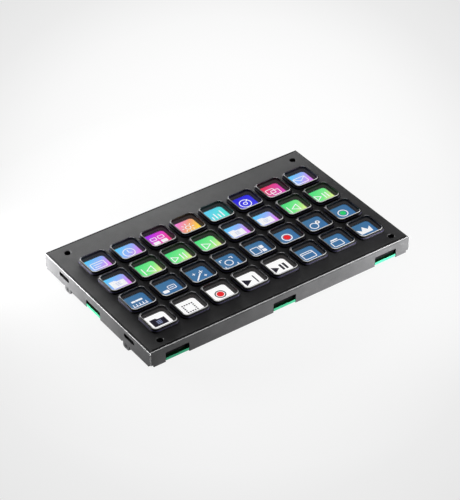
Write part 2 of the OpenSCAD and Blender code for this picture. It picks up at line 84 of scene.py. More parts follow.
FOLD_R = 1.2          # outer radius of the housing's folds
# The coat's looks on a fold, as stretches of the way down it, from -1 at the plate to 1
# at the wall: where a highlight is painted, and the painted shade line above that.
SIDE_HIGHLIGHT, SIDE_SHADED = (0.26, 0.55), (-0.85, 0.14)
FRONT_HIGHLIGHT, FRONT_SHADED = (-0.34, 0.02), (-1.5, -0.62)
# vertical corners this close are painted the same pale colour as the folds' highlight
CORNER_PALE = 0.35
HIGHLIGHT_FADE = (8, 100)  # the folds' painted highlight fades, this far from the front left corner
SKIN = 0.35           # depth of the coat's look on the walls' cut edges; deeper in, the sheet is painted near black as shade
CUT_SKIN = 0.25       # and on the plate's openings, whose cut edges are painted near black as shade beyond that
PLATE_T = 1.05        # plate, with a little to spare

plate_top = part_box("housing")[1].z


# ---------------- node helpers
MAT = {}              # each material by its name, as Nodes makes them


class Nodes:
    """A short way to write the node tree of a material, or of the world."""

    def __init__(self, name, kind="materials"):
        self.mat = MAT[name] = getattr(bpy.data, kind).new(name)
        self.mat.use_nodes = True
        self.tree = self.mat.node_tree
        self.shader = self.tree.nodes.get("Principled BSDF")

    def add(self, kind, **values):
        node = self.tree.nodes.new(kind)
        for key, value in values.items():
            setattr(node, key, value)
        return node

    def link(self, a, b):
        self.tree.links.new(a, b)

    def set(self, **values):
        for key, value in values.items():
            self.shader.inputs[key.replace("_", " ")].default_value = value

    def place(self, output="Object", scale=(1, 1, 1)):
        coords = self.add("ShaderNodeTexCoord")
        mapping = self.add("ShaderNodeMapping")
        mapping.inputs["Scale"].default_value = scale
        self.link(coords.outputs[output], mapping.inputs["Vector"])
        return mapping.outputs["Vector"]

    def axes(self, vector=None):
        """X, Y and Z of a vector, or of the place in the object's own frame."""
        split = self.add("ShaderNodeSeparateXYZ")
        self.link(self.place() if vector is None else vector, split.inputs[0])
        return [split.outputs[axis] for axis in "XYZ"]

    def noise(self, size_mm, detail=3, stretch=(1, 1, 1), rough=0.55):
        node = self.add("ShaderNodeTexNoise")
        node.inputs["Scale"].default_value = 1 / (size_mm * MM)
        node.inputs["Detail"].default_value = detail
        node.inputs["Roughness"].default_value = rough
        self.link(self.place(scale=stretch), node.inputs["Vector"])
        return node.outputs["Fac"]

    def measure(self, operation, other=(0, 0, 0)):
        """A number from the place and another vector."""
        node = self.add("ShaderNodeVectorMath", operation=operation)
        node.inputs[1].default_value = other
        self.link(self.place(), node.inputs[0])
        return node.outputs["Value"]

    def wave(self, direction, spacing_mm):
        """Even stripes across one axis."""
        node = self.add("ShaderNodeTexWave", bands_direction=direction)
        node.inputs["Scale"].default_value = math.pi / (10 * spacing_mm * MM)
        node.inputs["Distortion"].default_value = 0
        self.link(self.place(), node.inputs["Vector"])
        return node.outputs["Fac"]

    def ramp(self, factor, stops, interpolation="LINEAR"):
        node = self.add("ShaderNodeValToRGB")
        node.color_ramp.interpolation = interpolation
        elements = node.color_ramp.elements
        while len(elements) < len(stops):
            elements.new(0.5)
        for element, (at, colour) in zip(elements, stops):
            element.position = at
            element.color = (*colour, 1) if len(colour) == 3 else colour
        self.link(factor, node.inputs["Fac"])
        return node.outputs["Color"]

    def tones(self, factor, low, high, start=0.35, end=0.65):
        return self.ramp(factor, [(start, low), (end, high)])

    def grey_ramp(self, factor, low, high, start=0.3, end=0.7):
        return self.tones(factor, (low,) * 3, (high,) * 3, start, end)

    def math(self, operation, a, b=None, clamp=False):
        node = self.add("ShaderNodeMath", operation=operation, use_clamp=clamp)
        for socket, value in zip(node.inputs, (a, b)):
            if isinstance(value, (int, float)):
                socket.default_value = value
            elif value is not None:
                self.link(value, socket)
        return node.outputs[0]

    def within(self, value, low, high):
        """1 where a value lies between two limits."""
        return self.math("MULTIPLY", self.math("GREATER_THAN", value, low),
                         self.math("LESS_THAN", value, high))

    def stretch(self, value, low_mm, high_mm):
        """0 to 1 as a length goes from one limit to the other."""
        reach = self.math("SUBTRACT", value, low_mm * MM)
        return self.math("DIVIDE", reach, (high_mm - low_mm) * MM, clamp=True)

    def to_corners(self, low_mm, high_mm, in_front=True):
        """0 to 1 towards a key's corners, or towards its two back ones alone."""
        x, y, _ = self.axes()
        y = self.math("ABSOLUTE", y) if in_front else y
        return self.stretch(self.math("MINIMUM", self.math("ABSOLUTE", x), y), low_mm, high_mm)

    def blend(self, a, b, share):
        """Two values added, the second by its share."""
        rest = self.math("MULTIPLY", a, 1 - share)
        return self.math("ADD", rest, self.math("MULTIPLY", b, share))

    def mix(self, factor, a, b, blend_type="MIX"):
        node = self.add("ShaderNodeMix", data_type="RGBA", blend_type=blend_type)
        sockets = [s for s in node.inputs if s.type == "RGBA"]
        for socket, value in zip(sockets, (a, b)):
            if isinstance(value, tuple):
                socket.default_value = (*value, 1)
            else:
                self.link(value, socket)
        if isinstance(factor, float):
            node.inputs["Factor"].default_value = factor
        else:
            self.link(factor, node.inputs["Factor"])
        return next(s for s in node.outputs if s.type == "RGBA")

    def mix_shaders(self, factor, a, b, surface):
        node = self.add("ShaderNodeMixShader")
        for value, socket in zip((factor, a.outputs[0], b.outputs[0]), node.inputs):
            self.link(value, socket)
        self.link(node.outputs[0], surface.inputs["Surface"])

    def colour(self, output):
        self.link(output, self.shader.inputs["Base Color"])

    def roughness(self, output):
        self.link(output, self.shader.inputs["Roughness"])

    def bump(self, height, distance_mm, strength=1.0):
        node = self.add("ShaderNodeBump")
        node.inputs["Distance"].default_value = distance_mm * MM
        node.inputs["Strength"].default_value = strength
        self.link(height, node.inputs["Height"])
        self.link(node.outputs["Normal"], self.shader.inputs["Normal"])


def srgb(r, g, b):
    """A colour as it is seen, 0 to 255, in the linear values that shaders take."""
    def linear(value):
        value /= 255
        return value / 12.92 if value <= 0.04045 else ((value + 0.055) / 1.055) ** 2.4
    return tuple(linear(v) for v in (r, g, b))


# ---------------- materials
def speckled(name, dark, light, size_mm, rough=(0.4, 0.55), bump_mm=0.01, stretch=(1, 1, 1),
             **values):
    """A material whose colour, roughness and surface vary with one fine noise."""
    m = Nodes(name)
    fine = m.noise(size_mm, stretch=stretch)
    broad = m.noise(size_mm * 14, detail=2)
    both = m.blend(fine, broad, 0.45)
    m.colour(m.tones(both, dark, light))
    m.roughness(m.grey_ramp(fine, *rough))
    m.bump(fine, bump_mm)
    m.set(**values)


def housing_masks(m):
    """Masks: painted highlight on folds and corners, painted shade above it, folds, shaded inside.
    """
    low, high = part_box("housing")
    middle, half = (low + high) / 2, (high - low) / 2
    x, y, z = m.axes()
    inside = []
    for place, centre, reach in ((x, middle.x, half.x), (y, middle.y, half.y)):
        off = m.math("ABSOLUTE", m.math("SUBTRACT", place, centre))
        inside.append(m.math("SUBTRACT", reach, off))
    under = m.math("SUBTRACT", high.z, z)
    near = m.math("MINIMUM", *inside)
    down = m.math("DIVIDE", m.math("SUBTRACT", under, near), FOLD_R * MM)
    side = m.math("LESS_THAN", *inside)
    front = m.math("SUBTRACT", 1.0, side)
    bands = [m.math("ADD", m.math("MULTIPLY", side, m.within(down, *on_side)),
                    m.math("MULTIPLY", front, m.within(down, *on_front)))
             for on_side, on_front in ((SIDE_HIGHLIGHT, FRONT_HIGHLIGHT), (SIDE_SHADED, FRONT_SHADED))]
    corner = m.math("LESS_THAN", m.math("MAXIMUM", *inside), CORNER_PALE * MM)
    # Where shade is painted: the walls' inner faces and the openings' cut edges.
    inner_wall = m.math("MULTIPLY", m.math("GREATER_THAN", near, SKIN * MM),
                        m.math("GREATER_THAN", under, PLATE_T * MM))
    cut_edge = m.math("MULTIPLY", m.math("GREATER_THAN", near, FOLD_R * MM),
                      m.math("GREATER_THAN", under, CUT_SKIN * MM))
    bent = m.math("LESS_THAN", m.math("MAXIMUM", near, under), FOLD_R * MM)
    return (m.math("MAXIMUM", bands[0], corner), bands[1], m.math("MAXIMUM", bent, bands[1]),
            m.math("MAXIMUM", inner_wall, cut_edge))


def housing_material():
    """Satin dark grey coat on folded sheet, with painted highlights on its edges and painted shade
    within.
    """
    m = Nodes("housing_coat")
    grain = m.noise(0.45, detail=4)
    broad = m.noise(9, detail=3)
    both = m.blend(grain, broad, 0.4)
    coat = m.tones(both, (0.056, 0.056, 0.0575), (0.098, 0.098, 0.1))
    edge, shaded, bent, within = housing_masks(m)
    # Painted highlight: a pale line along each fold and on the vertical corners, palest near the
    # front left corner.
    painted_highlight = m.math("MULTIPLY", edge, m.grey_ramp(m.noise(0.8), 0.88, 1.0))
    # Painted shade: a dark line beside each fold.
    coat = m.mix(shaded, coat, (0.012, 0.012, 0.0125))
    far = m.stretch(m.measure("DISTANCE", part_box("housing")[0]), *HIGHLIGHT_FADE)
    highlight_grey = m.mix(far, (0.85, 0.85, 0.855), (0.42, 0.42, 0.425))
    # Painted shade: the inside and the cut edges of the openings are near black.
    m.colour(m.mix(within, m.mix(painted_highlight, coat, highlight_grey), (0.006, 0.006, 0.0065)))
    matte = m.math("MAXIMUM", bent, within)
    m.roughness(m.mix(matte, m.grey_ramp(grain, 0.3, 0.44), (1.0, 1.0, 1.0)))
    m.bump(grain, 0.012, 0.6)
    m.set(Metallic=0.35)


def board_material():
    """Green solder mask over a fine net of tracks, with bright unmasked edges and painted shade on
    top.
    """
    m = Nodes("board_mask")
    facing = m.axes(m.add("ShaderNodeNewGeometry").outputs["True Normal"])[2]
    flat = m.math("GREATER_THAN", m.math("ABSOLUTE", facing), 0.5)
    grain = m.noise(1.3)
    weave = m.math("MULTIPLY", m.wave("X", 0.5), m.wave("Y", 0.5))
    pour = m.math("GREATER_THAN", m.noise(22, detail=0), 0.52)
    tone = m.blend(pour, weave, 0.45)
    mask = m.mix(tone, (0.006, 0.085, 0.042), (0.012, 0.15, 0.075))
    # Painted shade: the top side, in the housing's shade, is much darker, in dark stripes.
    top = m.math("GREATER_THAN", facing, 0.5)
    shaded_stripes = m.mix(m.wave("Y", 0.9), (0.0006, 0.006, 0.0015), (0.003, 0.052, 0.014))
    mask = m.mix(top, mask, shaded_stripes)
    edge = m.tones(grain, (0.028, 0.285, 0.145), (0.038, 0.345, 0.185), 0.3, 0.7)
    m.colour(m.mix(flat, edge, mask))
    m.roughness(m.grey_ramp(grain, 0.28, 0.4))
    m.bump(tone, 0.02, 0.5)


def ribbon_material():
    """Amber film with copper tracks that run along it."""
    m = Nodes("ribbon_film")
    tracks = m.wave("X", 1.0)
    m.colour(m.tones(tracks, (0.42, 0.16, 0.025), (0.62, 0.32, 0.08), end=0.6))
    m.roughness(m.grey_ramp(m.noise(0.6), 0.3, 0.42))
    m.bump(tracks, 0.02)


def picture_material(name, stops):
    """A lit picture's ground: a gradient from one corner to the other over fine pixels."""
    m = Nodes(name)
    x, y, _ = m.axes()
    across = m.math("SUBTRACT", x, y)
    share = m.math("ADD", m.math("DIVIDE", across, 4 * PICTURE_HALF * MM), 0.5, clamp=True)
    ground = m.ramp(share, [(at, srgb(*c)) for at, c in stops])
    pixels = m.add("ShaderNodeTexChecker")
    pixels.inputs["Scale"].default_value = 1 / (0.24 * MM)
    pixels.inputs["Color1"].default_value = (1, 1, 1, 1)
    pixels.inputs["Color2"].default_value = (0.93, 0.93, 0.93, 1)
    m.link(m.place(), pixels.inputs["Vector"])
    lit = m.mix(1.0, ground, pixels.outputs["Color"], "MULTIPLY")
    m.link(lit, m.shader.inputs["Emission Color"])
    m.set(Base_Color=(0.01, 0.01, 0.01, 1), Roughness=0.5, Emission_Strength=1.08)


def clear_material():
    """Clear moulding: no tint, and a polished skin that shows reflections."""
    m = Nodes("key_clear")
    m.set(Base_Color=(1, 1, 1, 1), Transmission_Weight=1.0, IOR=1.01,
          Coat_Weight=0.45, Coat_IOR=1.49, Coat_Roughness=0.02)
    m.roughness(m.grey_ramp(m.noise(3), 0.0, 0.015))


def painted_glint_material():
    """The clear rim's bevel, painted to glow as a highlight, most at the corners and in front."""
    m = Nodes("key_painted_glint")
    fine = m.noise(1.8)
    in_front = m.stretch(m.math("MULTIPLY", m.axes()[1], -1.0), 6.0, 6.5)
    bright = m.math("MAXIMUM", m.to_corners(4.4, 5.8), in_front)
    m.colour(m.grey_ramp(fine, 0.03, 0.05))
    m.roughness(m.grey_ramp(fine, 0.3, 0.4))
    m.link(m.grey_ramp(bright, 0.28, 0.9, 0.0, 1.0), m.shader.inputs["Emission Color"])
    m.set(Emission_Strength=0.9, Specular_IOR_Level=0.1)


def cornered(name, dark, light, size_mm, corner_highlight, reach, rough, in_front=False, **values):
    """A dark part of a key's rim with a painted highlight: paler at its two back corners, or at
    all four.
    """
    m = Nodes(name)
    fine = m.noise(size_mm)
    m.colour(m.mix(m.to_corners(*reach, in_front), m.tones(fine, dark, light), corner_highlight))
    m.roughness(m.grey_ramp(fine, *rough))
    m.set(**values)


housing_material()
board_material()
ribbon_material()
clear_material()
painted_glint_material()
# Painted highlights: the shoulder is paler at the back corners; the rim's top line is pale
# grey-purple, palest at the corners.
cornered("key_shoulder", (0.002, 0.002, 0.002), (0.004, 0.004, 0.004), 0.4, (0.22, 0.22, 0.23),
         (5.55, 5.85), (0.6, 0.75), Specular_IOR_Level=0.15)
cornered("key_highlight_line", (0.10, 0.10, 0.13), (0.14, 0.14, 0.18), 0.5, (0.7, 0.7, 0.72), (5.3, 5.9),
         (0.5, 0.6), in_front=True, Specular_IOR_Level=0.2)
speckled("key_black", (0.004, 0.004, 0.005), (0.008, 0.008, 0.009), 0.5, rough=(0.08, 0.14),
         bump_mm=0.0, Specular_IOR_Level=0.5)
speckled("key_matte", (0.002, 0.002, 0.002), (0.004, 0.004, 0.004), 0.4, rough=(0.6, 0.75),
         bump_mm=0.001, Specular_IOR_Level=0.15)
# Painted highlight: the purple-grey band round each key's side.
speckled("key_band_highlight", (0.034, 0.03, 0.064), (0.048, 0.043, 0.088), 0.5, rough=(0.2, 0.3),
         bump_mm=0.001)
# Painted glow: the well's lower wall shines faintly brownish.
speckled("key_wall_glow", (0.004, 0.0035, 0.004), (0.007, 0.006, 0.007), 0.4, rough=(0.5, 0.65),
         bump_mm=0.002, Specular_IOR_Level=0.1, Emission_Color=(0.025, 0.023, 0.023, 1),
         Emission_Strength=1.0)
speckled("silicone", (0.55, 0.56, 0.58), (0.66, 0.67, 0.69), 0.8, rough=(0.45, 0.6),
         Subsurface_Weight=0.2)
speckled("plated_steel", (0.58, 0.58, 0.57), (0.74, 0.74, 0.72), 0.25, rough=(0.28, 0.42),
         Metallic=1.0, stretch=(0.12, 1, 1))
# Painted shade: near black and almost without gloss, as the inside of the housing is in shade.
speckled("dark_steel_in_shade", (0.003, 0.003, 0.0035), (0.008, 0.008, 0.009), 0.3, rough=(0.7, 0.85),
         Specular_IOR_Level=0.03)
speckled("black_steel", (0.05, 0.05, 0.052), (0.09, 0.09, 0.092), 0.3, rough=(0.3, 0.45),
         Metallic=0.8)
speckled("connector_body", (0.68, 0.65, 0.55), (0.80, 0.77, 0.67), 0.4)
speckled("display_glass", (0.008, 0.008, 0.012), (0.016, 0.016, 0.022), 4, rough=(0.03, 0.08),
         bump_mm=0.0)
speckled("chip_body", (0.022, 0.022, 0.024), (0.045, 0.045, 0.048), 0.12, rough=(0.5, 0.7))
speckled("white_film", (0.72, 0.72, 0.71), (0.84, 0.84, 0.83), 1.2, rough=(0.5, 0.65))
speckled("light_guide", (0.70, 0.78, 0.80), (0.82, 0.88, 0.90), 0.6, rough=(0.1, 0.2))
# Painted shade: the foam is darkened too, as the inside is in shade.
speckled("foam", (0.008, 0.008, 0.009), (0.03, 0.03, 0.032), 0.3, rough=(0.85, 0.95), bump_mm=0.12)
speckled("ferrite", (0.10, 0.10, 0.105), (0.22, 0.22, 0.225), 0.15, rough=(0.6, 0.75),
         bump_mm=0.03)
speckled("ceramic", (0.36, 0.24, 0.13), (0.50, 0.36, 0.22), 0.3, rough=(0.5, 0.65))
speckled("white_ink", (0.78, 0.78, 0.78), (0.9, 0.9, 0.9), 0.5)
speckled("board_track", (0.03, 0.27, 0.14), (0.05, 0.34, 0.18), 0.6, rough=(0.25, 0.4))
speckled("gold_contact", (0.70, 0.48, 0.16), (0.85, 0.62, 0.25), 0.3, rough=(0.2, 0.3),
         Metallic=1.0)

# The material of each CAD node, also of those that a piece of the scene stands for
NODE_LOOKS = {
    "housing_coat": "housing",
    "dark_steel_in_shade": "corner_nuts lcd_frame lcd_tray",
    "black_steel": "lug_screws",
    "plated_steel": "board_blocks usb_receptacle crystal",
    "silicone": "key_membrane",
    "board_mask": "switch_board led_strip main_board",
    "ribbon_film": "switch_flex lcd_flex",
    "connector_body": "switch_connector lcd_connector",
    "display_glass": "lcd_glass",
    "white_film": "lcd_films reflector_sheet insulating_film",
    "light_guide": "light_guide",
    "foam": "foam_strips",
    "chip_body": "lcd_drivers controller_chip memory_chips regulator_chips",
    "ferrite": "power_inductors",
    "ceramic": "chip_capacitors",
}
for look, users in NODE_LOOKS.items():
    for user in users.split():
        nodes[user].data.materials.clear()
        nodes[user].data.materials.append(MAT[look])


# ---------------- mesh helpers
def add_object(name, data):
    made = bpy.data.objects.new(name, data)
    bpy.context.scene.collection.objects.link(made)
    return made


def mesh_from(bm, name):
    mesh = bpy.data.meshes.new(name)
    bm.to_mesh(mesh)
    bm.free()
    return mesh


def finish_piece(bm, name, materials, body="module", at=(0, 0, 0), smooth=True,
                 replaces=()):
    """The mesh becomes a piece that rides on a body."""
    bmesh.ops.recalc_face_normals(bm, faces=bm.faces[:])
    mesh = mesh_from(bm, name)
    for look in materials:
        mesh.materials.append(MAT[look])
    for polygon in mesh.polygons:
        polygon.use_smooth = smooth
    if smooth:
        mesh.set_sharp_from_angle(angle=math.radians(28))
    piece = add_object(name, mesh)
    piece.location = at
    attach(piece, body)
    if replaces:
        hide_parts(*replaces)
    return piece


def square_loop(corner, radius):
    """Points of a rounded square: corner is a corner centre's distance from the middle."""
    points = []
    for quarter in range(4):
        cx = corner if quarter in (0, 3) else -corner
        cy = corner if quarter in (0, 1) else -corner
        for step in range(CORNER_STEPS + 1):
            a = math.radians(90 * (quarter + step / CORNER_STEPS))
            points.append((cx + radius * math.cos(a), cy + radius * math.sin(a)))
    return points


def add_loop(bm, points, z):
    return [bm.verts.new((x * MM, y * MM, z)) for x, y in points]


def bridge(bm, low, high, material):
    """Quads between two loops that have as many points."""
    count = len(low)
    for i in range(count):
        j = (i + 1) % count
        bm.faces.new((low[i], low[j], high[j], high[i])).material_index = material


def cap(bm, loop, material):
    bm.faces.new(loop).material_index = material


def loft(bm, loops, material):
    """A closed block through loops that have as many points."""
    for low, high in zip(loops, loops[1:]):
        bridge(bm, low, high, material)
    cap(bm, loops[0][::-1], material)
    cap(bm, loops[-1], material)


def prism(bm, points, z0, z1, material):
    """A closed block over an outline."""
    loft(bm, [add_loop(bm, points, z) for z in (z0, z1)], material)


def band(bm, outer, inner, z0, z1, material):
    """A closed ring between two outlines that have as many points."""
    loops = [add_loop(bm, p, z) for p, z in ((outer, z0), (outer, z1), (inner, z1), (inner, z0))]
    for i in range(4):
        bridge(bm, loops[i], loops[(i + 1) % 4], material)


# ---------------- pictograms
def disc(x, y, r, steps=28):
    return [(x + r * math.cos(2 * math.pi * i / steps), y + r * math.sin(2 * math.pi * i / steps))
            for i in range(steps)]


def rect(x, y, w, h, r=0.35, steps=4):
    """A rounded rectangle by its middle."""
    r = min(r, w / 2 - 0.001, h / 2 - 0.001)
    points = []
    for quarter, (sx, sy) in enumerate(((1, 1), (-1, 1), (-1, -1), (1, -1))):
        for step in range(steps + 1):
            a = math.radians(90 * (quarter + step / steps))
            points.append((x + sx * (w / 2 - r) + r * math.cos(a),
                           y + sy * (h / 2 - r) + r * math.sin(a)))
    return points


def bar(x0, y0, x1, y1, w, steps=5):
    """A straight stroke with round ends."""
    along = math.atan2(y1 - y0, x1 - x0)
    points = []
    for x, y, start in ((x1, y1, along - math.pi / 2), (x0, y0, along + math.pi / 2)):
        for step in range(steps + 1):
            a = start + math.pi * step / steps
            points.append((x + w / 2 * math.cos(a), y + w / 2 * math.sin(a)))
    return points


class Ink:
    """Draws flat signs on a picture: all lengths are in mm, from the sign's middle."""

    def __init__(self, bm, z, material, second=None):
        self.bm, self.material, self.second = bm, material, second
        self.low, self.high = z - INK_SUNK * MM, z + INK_PROUD * MM

    def placed(self, points):
        return [(x * SIGN_SCALE + SIGN_SHIFT, y * SIGN_SCALE + SIGN_SHIFT) for x, y in points]

    def fill(self, points):
        prism(self.bm, self.placed(points), self.low, self.high, self.material)

    def line(self, outer, inner):
        band(self.bm, self.placed(outer), self.placed(inner), self.low, self.high, self.material)

    def box(self, x, y, w, h, stroke=0.55, r=0.9):
        inner = rect(x, y, w - 2 * stroke, h - 2 * stroke, max(r - stroke, 0.1))
        self.line(rect(x, y, w, h, r), inner)

    def ring(self, x, y, r, stroke=0.55):
        self.line(disc(x, y, r), disc(x, y, r - stroke))

    def bar(self, *args):
        self.fill(bar(*args))

    def path(self, width, *points):
        """Strokes from point to point."""
        for start, end in zip(points, points[1:]):
            self.bar(*start, *end, width)

    def triangle(self, x, half, tip, width=0.6):
        """An outline that points along X, from an upright side to its tip."""
        self.path(width, (x, -half), (x, half), (tip, 0), (x, -half))


def sign_folder(ink):
    ink.fill([(-4.6, -3.4), (4.6, -3.4), (4.6, 2.2), (0.2, 2.2), (-0.8, 3.3), (-4.6, 3.3)])
    for i in range(3):
        ink.second.bar(-1.4, -1.6 + 1.1 * i, 1.4, -1.6 + 1.1 * i, 0.32)


def sign_play_pause(ink):
    ink.triangle(-4.2, 2.4, -0.4)
    for x in (1.9, 4.1):
        ink.bar(x, -2.4, x, 2.4, 0.75)


def sign_play_pause_full(ink):
    ink.fill([(-4.6, -2.9), (-0.4, 0), (-4.6, 2.9)])
    for x in (1.5, 4.0):
        ink.fill(rect(x, 0, 1.5, 5.6, 0.2))


def sign_skip_full(ink):
    ink.fill([(-4.2, -3.2), (1.0, 0), (-4.2, 3.2)])
    ink.bar(3.6, -3.2, 3.6, 3.2, 0.8)


def sign_skip(ink, way=1):
    ink.triangle(-3.2 * way, 2.9, 1.4 * way)
    ink.bar(3.4 * way, -3.0, 3.4 * way, 3.0, 0.7)


def sign_skip_back(ink):
    sign_skip(ink, -1)


def sign_clock(ink):
    ink.ring(0, 0, 3.9)
    ink.path(0.55, (0, 2.3), (0, 0), (1.7, -1.0))


def sign_card(ink):
    ink.box(0, 0, 9.4, 6.2)
    ink.bar(-2.9, 0.9, 2.9, 0.9, 0.5)
    ink.bar(-2.9, -1.1, 0.6, -1.1, 0.5)


def sign_blocks(ink):
    for x in (-2.6, 2.6):
        ink.box(x, 2.0, 4.1, 3.1, 0.5, 0.6)
        ink.fill(rect(x, -2.2, 4.1, 2.9, 0.5))


def sign_sun(ink):
    ink.ring(0, 0, 1.9)
    for i in range(8):
        a = math.radians(45 * i)
        ink.bar(2.9 * math.cos(a), 2.9 * math.sin(a), 4.0 * math.cos(a), 4.0 * math.sin(a), 0.55)


def sign_levels(ink):
    for x, h in ((-3.6, 1.6), (-1.2, 3.4), (1.2, 2.3), (3.6, 4.0)):
        ink.bar(x, -2.6, x, -2.6 + h * 1.4, 0.85)


def sign_turn(ink):
    ink.ring(0, 0, 4.0, 0.6)
    ink.ring(0, 0, 1.5, 0.6)
    ink.bar(1.4, 1.4, 2.9, 2.9, 0.6)


def sign_cards(ink):
    ink.box(-1.3, 1.0, 6.0, 5.0)
    ink.box(1.3, -1.0, 6.0, 5.0)


def sign_mail(ink):
    ink.box(0, 0, 9.0, 6.2)
    ink.path(0.5, (-3.9, 2.3), (0, -0.6), (3.9, 2.3))


def sign_bars(ink):
    for x, w in ((-2.4, 2.56), (-0.12, 1.6), (2.12, 2.88)):
        ink.fill(rect(x, 1.6, w, 1.5, 0.3))
    for x in (-4.2, -2.1, 0, 2.1, 4.2):
        ink.bar(x, -2.6, x, -0.9, 0.5)
    ink.bar(-4.6, -3.0, 4.6, -3.0, 0.5)


def sign_shapes(ink):
    ink.fill(rect(-2.9, -1.4, 3.8, 2.6, 0.6))
    ink.box(2.2, 0.6, 5.2, 3.8, 0.5, 0.7)
    ink.bar(0.9, 0.6, 3.4, 0.6, 0.45)


def sign_wand(ink):
    ink.bar(-3.4, -3.4, 1.4, 1.4, 0.8)
    for x, y, s in ((2.6, 2.6, 1.3), (-2.2, 2.6, 0.8), (3.2, -1.6, 0.8)):
        ink.bar(x - s, y, x + s, y, 0.45)
        ink.bar(x, y - s, x, y + s, 0.45)


def sign_focus(ink):
    ink.ring(0, 0, 2.7)
    for sx in (-1, 1):
        for sy in (-1, 1):
            ink.path(0.55, (4.2 * sx, 2.6 * sy), (4.2 * sx, 4.2 * sy), (2.6 * sx, 4.2 * sy))


def sign_windows(ink):
    ink.box(-1.6, 0, 5.6, 6.4)
    ink.fill(rect(3.1, 1.6, 2.6, 3.0, 0.4))
    ink.fill(rect(3.1, -2.0, 2.6, 2.6, 0.4))


def sign_record(ink):
    ink.ring(0, 0, 3.4, 0.7)
    ink.second.fill(disc(0, 0, 2.2))


def sign_dial(ink):
    ink.ring(-0.9, -0.4, 2.9, 0.6)
    ink.fill(disc(2.9, 1.7, 1.5))
    ink.second.fill(disc(2.9, 1.7, 0.6))


def sign_live(ink):
    ink.ring(0, 0, 3.3, 0.6)
    ink.second.fill(disc(0, 0, 1.9))


def sign_dots(ink):
    steps = {(x, y) for i in range(-2, 3) for x, y in ((i, 2), (i, -2), (2, i), (-2, i))}
    for x, y in sorted(steps):
        ink.fill(rect(x * 1.6, y * 1.6, 0.95, 0.95, 0.15))


def sign_window(ink):
    ink.box(0, 0, 8.6, 6.6)
    ink.bar(-3.6, 1.5, 3.6, 1.5, 0.5)


def sign_crate(ink):
    ink.box(0, -0.8, 7.6, 5.2)
    ink.fill(rect(0, 3.0, 5.0, 1.1, 0.3))


def sign_peaks(ink):
    ink.fill([(-4.2, -2.8), (4.2, -2.8), (4.8, 2.2), (2.1, -0.2), (0, 3.4), (-2.1, -0.2),
              (-4.8, 2.2)])


# Each ground's colours, from the picture's back left corner to its front right one
GROUNDS = {
    "violet": [(0.12, (84, 202, 250)), (0.5, (152, 176, 248)), (0.86, (234, 118, 240))],
    "magenta": [(0.15, (166, 44, 236)), (0.5, (226, 62, 196)), (0.85, (240, 70, 120))],
    "sunset": [(0.15, (244, 128, 214)), (0.47, (241, 160, 122)), (0.78, (254, 212, 66))],
    "teal": [(0.15, (96, 206, 240)), (0.85, (76, 230, 206))],
    "royal": [(0.15, (40, 34, 214)), (0.85, (64, 62, 238))],
    "ruby": [(0.15, (232, 52, 84)), (0.5, (218, 68, 150)), (0.85, (222, 76, 190))],
    "green": [(0.15, (72, 224, 128)), (0.55, (122, 234, 138)), (0.88, (234, 244, 142))],
    "steel": [(0.1, (66, 116, 154)), (0.5, (62, 112, 158)), (0.9, (58, 112, 166))],
    "paper": [(0.1, (250, 250, 250)), (0.9, (255, 255, 255))],
}
INKS = {"white": (252, 252, 255), "black": (26, 22, 38), "red": (238, 34, 40),
        "green": (40, 208, 110), "grey": (176, 190, 236)}
SECOND_INK = {sign_folder: "grey", sign_record: "red", sign_dial: "black", sign_live: "green"}


def lit_ink(name, colour):
    """Ink of a lit sign, a little uneven as a display's light is."""
    m = Nodes(name)
    dim = tuple(c * 0.9 for c in srgb(*colour))
    light = m.tones(m.noise(0.9), dim, srgb(*colour), 0.3, 0.7)
    m.link(light, m.shader.inputs["Emission Color"])
    m.set(Base_Color=(0.01, 0.01, 0.01, 1), Roughness=0.5, Emission_Strength=1.0)


for ground, stops in GROUNDS.items():
    picture_material("picture_" + ground, stops)
for ink, tint in INKS.items():
    lit_ink("sign_" + ink, tint)

# Each key's ground and sign, from the back row to the front one
PICTURES = [
    [("violet", sign_card), ("violet", sign_clock), ("magenta", sign_blocks),
     ("sunset", sign_sun), ("teal", sign_levels), ("royal", sign_turn), ("ruby", sign_cards),
     ("violet", sign_mail)],
    [("violet", sign_folder), ("green", sign_skip_back), ("green", sign_play_pause),
     ("green", sign_skip), ("violet", sign_folder), ("violet", sign_folder),
     ("green", sign_skip_back), ("green", sign_play_pause)],
    [("steel", sign_bars), ("steel", sign_shapes), ("steel", sign_wand), ("steel", sign_focus),
     ("steel", sign_windows), ("steel", sign_record), ("steel", sign_dial),
     ("steel", sign_live)],
    [("paper", sign_folder), ("paper", sign_dots), ("paper", sign_record),
     ("paper", sign_skip_full), ("paper", sign_play_pause_full), ("steel", sign_window),
     ("steel", sign_crate), ("steel", sign_peaks)],
]


# ---------------- keys
def key_place(name):
    low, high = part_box(name)
    half = (high.x - low.x) / 2 / MM - FOOT_LIP
    return (low + high) / 2, half, low.z + LENS_SKIRT * MM, high.z


